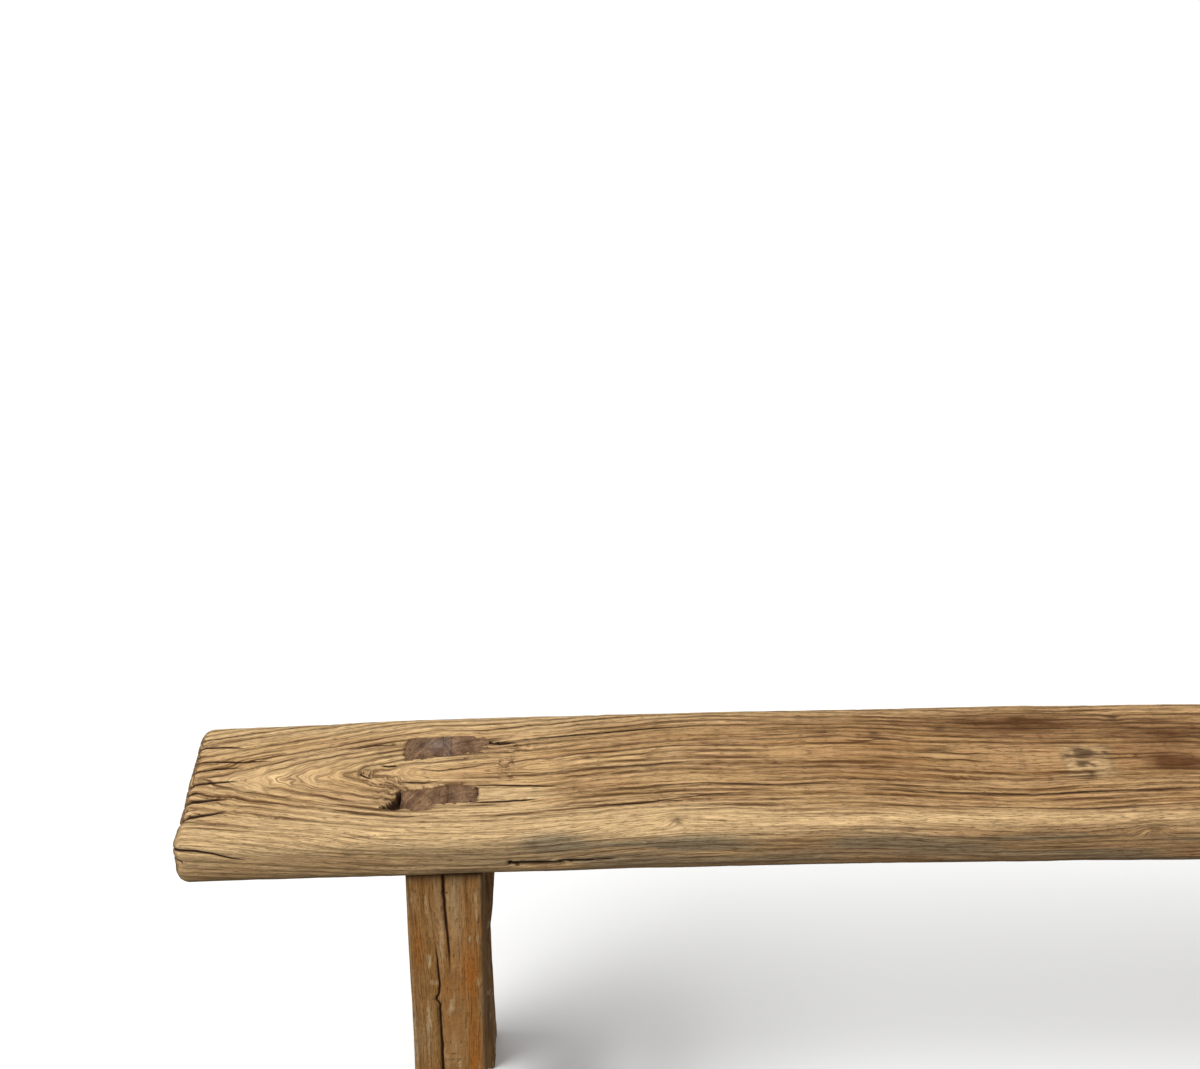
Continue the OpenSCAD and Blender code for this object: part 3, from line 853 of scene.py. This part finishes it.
    # marks for the finish
    patches = smooth_step(smooth_noise(along / 55, cross / 11, seed + 11), -0.2, 0.6)
    orange = 0.6 * patches * smooth_step(smooth_noise(along / 30, cross / 5, seed + 12), -0.4, 0.4)
    scuff = smooth_step(smooth_noise(along / 20, cross / 3, seed + 13), 0.5, 0.85)
    pale = 0.3 * smooth_step(smooth_noise(along / 40, cross / 8, seed + 16), 0.1, 0.7)
    grey = 0.4 * smooth_step(smooth_noise(along / 90, cross / 25, seed + 14), 0.1, 0.8)
    grey = grey * (1 - on_top) + bluish * on_top
    if (end, side) == (LEFT, FRONT):
        orange = 0.25 * orange + blobs(along, q, ORANGE_STREAKS)
        pale = pale + blobs(along, q, PALE_STREAKS)
        scuff = 0.4 * scuff + blobs(along, q, LEG_SCUFFS)
    arris = np.exp(-((np.abs(q) - flat - 2.6) / 1.3) ** 2)
    arris = arris * (0.6 + 0.4 * smooth_noise(along / 14, 0 * q, seed + 15))
    sides = smooth_step(np.abs(q), flat + 4, flat + 7)
    sides = sides * (1 - smooth_step(np.abs(q), half - 30, half - 24))
    # painted shade: the post's two narrow faces a little darker, and a painted shadow just below the
    # shoulder under the plank's edge; the last term makes it darker towards the foot
    shade_and_grime = 0.12 * sides + 1.6 * np.exp(-np.clip(along, 0, None) / 3.0) * (along > -4)
    shade_and_grime = shade_and_grime + 0.4 * smooth_step(along, 400, 450)
    # a dark line just below the shoulder, coloured like a crack: painted shadow under the plank's edge
    shoulder_shadow = 0.9 * np.exp(-np.clip(along + 1, 0, None) / 1.6) * (along > -4)
    marks = {
        "vein": vein, "gap": np.clip(gap, -4, 4), "near_gap": near_gap,
        "hollow": np.clip(0.5 * (deep > 1.0) + 0.7 * on_top * hollow + shoulder_shadow, 0, 1),
        "stain": np.clip(orange, 0, 1), "grey": np.clip(grey, 0, 1),
        "pale": np.clip(pale + 0.7 * arris, 0, 1), "end": end_grain,
        "spot": on_top * np.clip(0.25 * smooth_step(-burr, 0.1, 0.5) + bruise, 0, 1),
        "shade_and_grime": np.clip(shade_and_grime, 0, 1), "brown": nothing, "scuff": scuff, "slope": slope,
        "torn": nothing,
    }
    uv = np.stack([along + GRAIN_START, ring], -1)
    return closed_tube(name, points, uv, marks)


# painted shade takes the near black brown (0.06, 0.032, 0.012)
LEG_PALETTE = {
    "light": (0.38, 0.21, 0.075), "middle": (0.27, 0.135, 0.038), "warm": (0.33, 0.14, 0.03),
    "pink": (0.34, 0.17, 0.065), "pale": (0.52, 0.36, 0.185), "deep": (0.12, 0.052, 0.014),
    "stain": (0.40, 0.125, 0.012), "scuff": (0.56, 0.41, 0.235), "grey": (0.22, 0.155, 0.07),
    "shade_and_grime": (0.06, 0.032, 0.012), "spot": (0.06, 0.03, 0.014), "crack": (0.03, 0.011, 0.003),
    "end_light": (0.285, 0.165, 0.088), "end_dark": (0.14, 0.074, 0.04),
    "end_grey": (0.215, 0.168, 0.145),
}
leg_finish = elm("elm_legs", LEG_PALETTE, 0.35, 0.25)
for leg_end, end_name in ((LEFT, "left"), (RIGHT, "right")):
    for leg_side, side_name in ((FRONT, "front"), (REAR, "rear")):
        leg_seed = 300 + 37 * leg_end + 11 * leg_side
        leg = make_leg(f"post_{side_name}_{end_name}", leg_end, leg_side, leg_seed)
        leg.data.materials.append(leg_finish)
        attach(leg, "root")
        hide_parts(f"leg_{side_name}_{end_name}")

# ---------------------------------------------------------------------------------------
# The stretchers: two flat elm bars across each pair of legs, one above the other. Each
# has a thinner tenon at both ends that goes through its leg and stands a little proud.
# ---------------------------------------------------------------------------------------

RAIL_T, RAIL_H, RAIL_EDGE_R, RAIL_TIP_R, RAIL_PROUD = 24.0, 44.0, 3.0, 1.2, 1.5
RAIL_CRACKS = [
    # (distance behind the bench's middle, round) points
    ([(-80, 30), (-10, 34), (70, 31)], 0.9, True),
    ([(-60, -34), (40, -30), (90, -33)], 0.9, True),
]


def make_rail(name, end, z, seed):
    """A stretcher as a closed tube of upright sections from front to back. Its section is
    the smaller tenon's until it meets a leg's inner face, then the bar's, and between
    them is a pair of rings at the same place. The legs lean, so its ends are sheared."""
    half = half_outline(RAIL_T, RAIL_H, RAIL_EDGE_R, RAIL_EDGE_R)
    q = stations(-half, (half, 1.6))[:-1]
    leg_y = TENON_Y + (SEAT_H - z) * SIDE_SPLAY
    inner = leg_y - LEG_D / 2 * math.hypot(1, SIDE_SPLAY)
    outer = leg_y + (LEG_D / 2 + RAIL_PROUD) * math.hypot(1, SIDE_SPLAY)
    tip = closed_end(RAIL_TIP_R, 0.06, 6, 4)
    tenon = stations(-outer + RAIL_TIP_R, (-inner - 0.3, 4))[1:-1]
    bar = stations(-inner, (inner, 2.0))
    body = np.concatenate([tenon, [-inner - 0.3], bar, [inner + 0.3], -tenon[::-1]])
    y = between(tip[0] - outer, body, outer - tip[0])
    draw = between(tip[1], 0 * body, tip[1])
    size = between(tip[2], 1 + 0 * body, tip[2])
    is_tenon = np.abs(y) > inner + 0.1
    across, up, n_across, n_up = round_outline(q[None, :], RAIL_T, RAIL_H, RAIL_EDGE_R, RAIL_EDGE_R)
    across = np.where(is_tenon, across * RAIL_TENON_T / RAIL_T, across)
    up = np.where(is_tenon, up * RAIL_TENON_H / RAIL_H, up)
    across, up = (across - n_across * draw) * size, (up - n_up * draw) * size
    y, across, up, q, is_tenon = np.broadcast_arrays(y, across, up, q[None, :], is_tenon)
    cross = across + NOISE_LEAN * up
    end_grain = smooth_step(np.abs(y), outer - 1.0, outer - 0.2)

    ring = np.hypot(q - 8 * np.cos(math.pi / 2 * q / half), 10)
    ring = ring + 1.2 * smooth_noise(y / 60, cross / 12, seed)
    ring = ring + (np.hypot(across + 20, up - 10) - ring) * end_grain
    vein = smooth_step(smooth_noise(y / 70, ring / 4, seed + 1), -0.3, 0.7)
    slope = slope_of(ring, y, q)
    gap, near_gap, deep = fissures(y, q, RAIL_CRACKS, seed + 2)
    near_gap, deep = near_gap * ~is_tenon, deep * ~is_tenon
    hewn = 0.6 * smooth_noise(y / 40, cross / 18, seed + 3)
    hewn = hewn + 0.2 * smooth_noise(y / 12, cross / 7, seed + 4)
    push = np.where(is_tenon, 0, hewn - 0.3 * growth_lines(ring, slope, 1.6) * vein - 2.0 * deep)
    burr = 0.5 * smooth_noise(across / 4, up / 5, seed + 5) * end_grain
    shear = np.where(np.abs(y) > inner - 6, np.sign(y) * -up * SIDE_SPLAY, 0)
    points = np.stack([
        end * (LEG_X + (SEAT_H - z) * END_SPLAY) + across + n_across * push,
        y + shear + np.sign(y) * burr,
        z + up + n_up * push], -1)

    nothing = 0 * y
    # painted shade: darker next to the legs' inner faces, in the corner where the bar meets them
    shade_and_grime = 0.6 * smooth_step(np.abs(y), inner - 8, inner) * (1 - end_grain)
    marks = {
        "vein": vein, "gap": gap, "near_gap": near_gap, "hollow": 0.4 * (deep > 0.8),
        "stain": 0.5 * smooth_step(smooth_noise(y / 40, cross / 12, seed + 6), 0, 0.8),
        "grey": 0.5 * smooth_step(smooth_noise(y / 50, cross / 15, seed + 7), 0, 0.8),
        "pale": 0.5 * smooth_step(smooth_noise(y / 20, cross / 5, seed + 8), 0.3, 0.8),
        "scuff": smooth_step(smooth_noise(y / 15, cross / 3, seed + 9), 0.5, 0.9),
        "end": end_grain, "slope": slope, "shade_and_grime": shade_and_grime, "spot": nothing, "brown": nothing,
        "torn": nothing,
    }
    return closed_tube(name, points, np.stack([y + GRAIN_START, ring], -1), marks)


for rail_end, end_name in ((LEFT, "left"), (RIGHT, "right")):
    for rail_z, level in zip(RAIL_Z, ("upper", "lower")):
        rail_seed = 500 + 13 * rail_end + round(rail_z) % 7
        rail = make_rail(f"stretcher_{level}_{end_name}", rail_end, rail_z, rail_seed)
        rail.data.materials.append(leg_finish)
        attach(rail, "root")
        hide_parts(f"rail_{level}_{end_name}")

# ---------------------------------------------------------------------------------------
# The wedges: thin slips of hard elm, driven into each tenon's end from above and then cut
# off with it, so that only a narrow strip of their end grain shows.
# ---------------------------------------------------------------------------------------

WEDGE_TIP, WEDGE_DEPTH, WEDGE_EDGE_R = 2.0, 34.0, 0.5


def make_wedge(name, end, side, seed):
    """A wedge as a closed tube of level sections: its thickness falls in a straight line
    from the head's to the tip's, and its middle follows the leg's own line."""
    half = half_outline(WEDGE_HEAD, TENON_T, WEDGE_EDGE_R, WEDGE_EDGE_R)
    q = stations(-half, (half, 0.9))[:-1]
    flat, _, shrink, _ = closed_end(0, 0.06, 5, 0)
    body = stations(-WEDGE_DEPTH, (-1.2, 2.0), (0, 0.4))
    fall = between(flat - WEDGE_DEPTH, body, flat)
    size = between(shrink, 1 + 0 * body, shrink)
    across, up, _, _ = round_outline(q[None, :], WEDGE_HEAD, TENON_T - 0.8, WEDGE_EDGE_R, WEDGE_EDGE_R)
    thin = 1 + fall / WEDGE_DEPTH * (1 - WEDGE_TIP / WEDGE_HEAD)
    across, up, fall = np.broadcast_arrays(across * thin * size, up * size, fall)
    on_top = smooth_step(fall, -0.4, 0)
    middle = leg_axis(end, side, TENON_TOP + fall)
    rough = on_top * (0.3 * smooth_noise(across / 2, up / 3, seed) - 0.2)
    points = np.stack([middle[0] + across, middle[1] + side * up, TENON_TOP + fall + rough], -1)
    ring = np.hypot(across + 30, up + 20) * 1.3
    marks = {key: 0 * across for key in (
        "near_gap", "hollow", "stain", "grey", "pale", "shade_and_grime", "brown", "scuff", "torn")}
    marks["vein"] = 0.4 + 0 * across
    marks["gap"] = 4 + 0 * across
    marks["end"] = marks["slope"] = 1 + 0 * across
    marks["spot"] = 0.3 * smooth_step(smooth_noise(across / 2, up / 2, seed + 1), 0, 1)
    if (end, side) == (LEFT, REAR):
        marks["grey"] = 0.7 + 0 * across
    return closed_tube(name, points, np.stack([up + GRAIN_START, ring], -1), marks)


for leg_end, end_name in ((LEFT, "left"), (RIGHT, "right")):
    for leg_side, side_name in ((FRONT, "front"), (REAR, "rear")):
        wedge_seed = 700 + 5 * leg_end + leg_side
        wedge = make_wedge(f"slip_{side_name}_{end_name}", leg_end, leg_side, wedge_seed)
        wedge.data.materials.append(leg_finish)
        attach(wedge, "root")
        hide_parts(f"wedge_{side_name}_{end_name}")

# ---------------------------------------------------------------------------------------
# The stage: a plain pale floor, one soft light from above and in front, even light from
# all round, and the camera. None of it is part of the bench.
# ---------------------------------------------------------------------------------------


def make_floor():
    """A level square of pale matt floor, wider than the view."""
    half = 12.0
    corners = [(-half, -half, 0), (half, -half, 0), (half, half, 0), (-half, half, 0)]
    mesh = bpy.data.meshes.new("floor")
    mesh.from_pydata(corners, [], [(0, 1, 2, 3)])
    floor = bpy.data.objects.new("floor", mesh)
    bpy.context.scene.collection.objects.link(floor)
    material, shader, _ = shade("pale_floor")
    shader.inputs["Base Color"].default_value = (0.9, 0.9, 0.89, 1)
    shader.inputs["Roughness"].default_value = 0.9
    mesh.materials.append(material)
    floor.visible_diffuse = False
    floor.visible_glossy = False


def make_sun(name, towards, strength, spread):
    """A wide soft light far away: where it stands, how strong, and its width in degrees."""
    lamp = bpy.data.lights.new(name, "SUN")
    lamp.energy, lamp.angle = strength, math.radians(spread)
    light = bpy.data.objects.new(name, lamp)
    light.rotation_euler = Vector(towards).to_track_quat("Z", "Y").to_euler()
    bpy.context.scene.collection.objects.link(light)


def make_camera(place, pitch, yaw, roll, lens):
    """A camera looking along +Y, turned right by yaw, down by pitch and rolled, in degrees."""
    pitch, yaw, roll = (math.radians(a) for a in (pitch, yaw, roll))
    ahead = Vector((math.sin(yaw) * math.cos(pitch), math.cos(yaw) * math.cos(pitch), -math.sin(pitch)))
    right = ahead.cross(Vector((0, 0, 1))).normalized()
    up = right.cross(ahead)
    rolled_right = right * math.cos(roll) + up * math.sin(roll)
    rolled_up = up * math.cos(roll) - right * math.sin(roll)
    data = bpy.data.cameras.new("camera")
    data.sensor_width, data.lens = 36.0, lens
    camera = bpy.data.objects.new("camera", data)
    camera.matrix_world = Matrix.Translation(place) @ Matrix(
        (rolled_right, rolled_up, -ahead)).transposed().to_4x4()
    bpy.context.scene.collection.objects.link(camera)
    bpy.context.scene.camera = camera


def make_room(above, below):
    """Even light from all round, white overhead and darker towards the ground."""
    world = bpy.data.worlds.new("room")
    world.use_nodes = True
    tree = world.node_tree
    place = tree.nodes.new("ShaderNodeTexCoord")
    split = tree.nodes.new("ShaderNodeSeparateXYZ")
    blend = tree.nodes.new("ShaderNodeMapRange")
    for socket, value in ((1, -0.3), (2, 0.5), (3, below), (4, above)):
        blend.inputs[socket].default_value = value
    tree.links.new(place.outputs["Generated"], split.inputs[0])
    tree.links.new(split.outputs[2], blend.inputs[0])
    tree.links.new(blend.outputs[0], tree.nodes["Background"].inputs["Strength"])
    tree.nodes["Background"].inputs["Color"].default_value = (1, 1, 1, 1)
    bpy.context.scene.world = world


make_floor()
make_sun("key", (-0.42, -0.36, 0.83), 2.75, 30)
make_room(0.56, 0.22)
bpy.context.scene.view_settings.view_transform = "Standard"
make_camera((-0.3195, -1.0541, 1.5722), 38.77, 0.06, -0.69, 60.0)
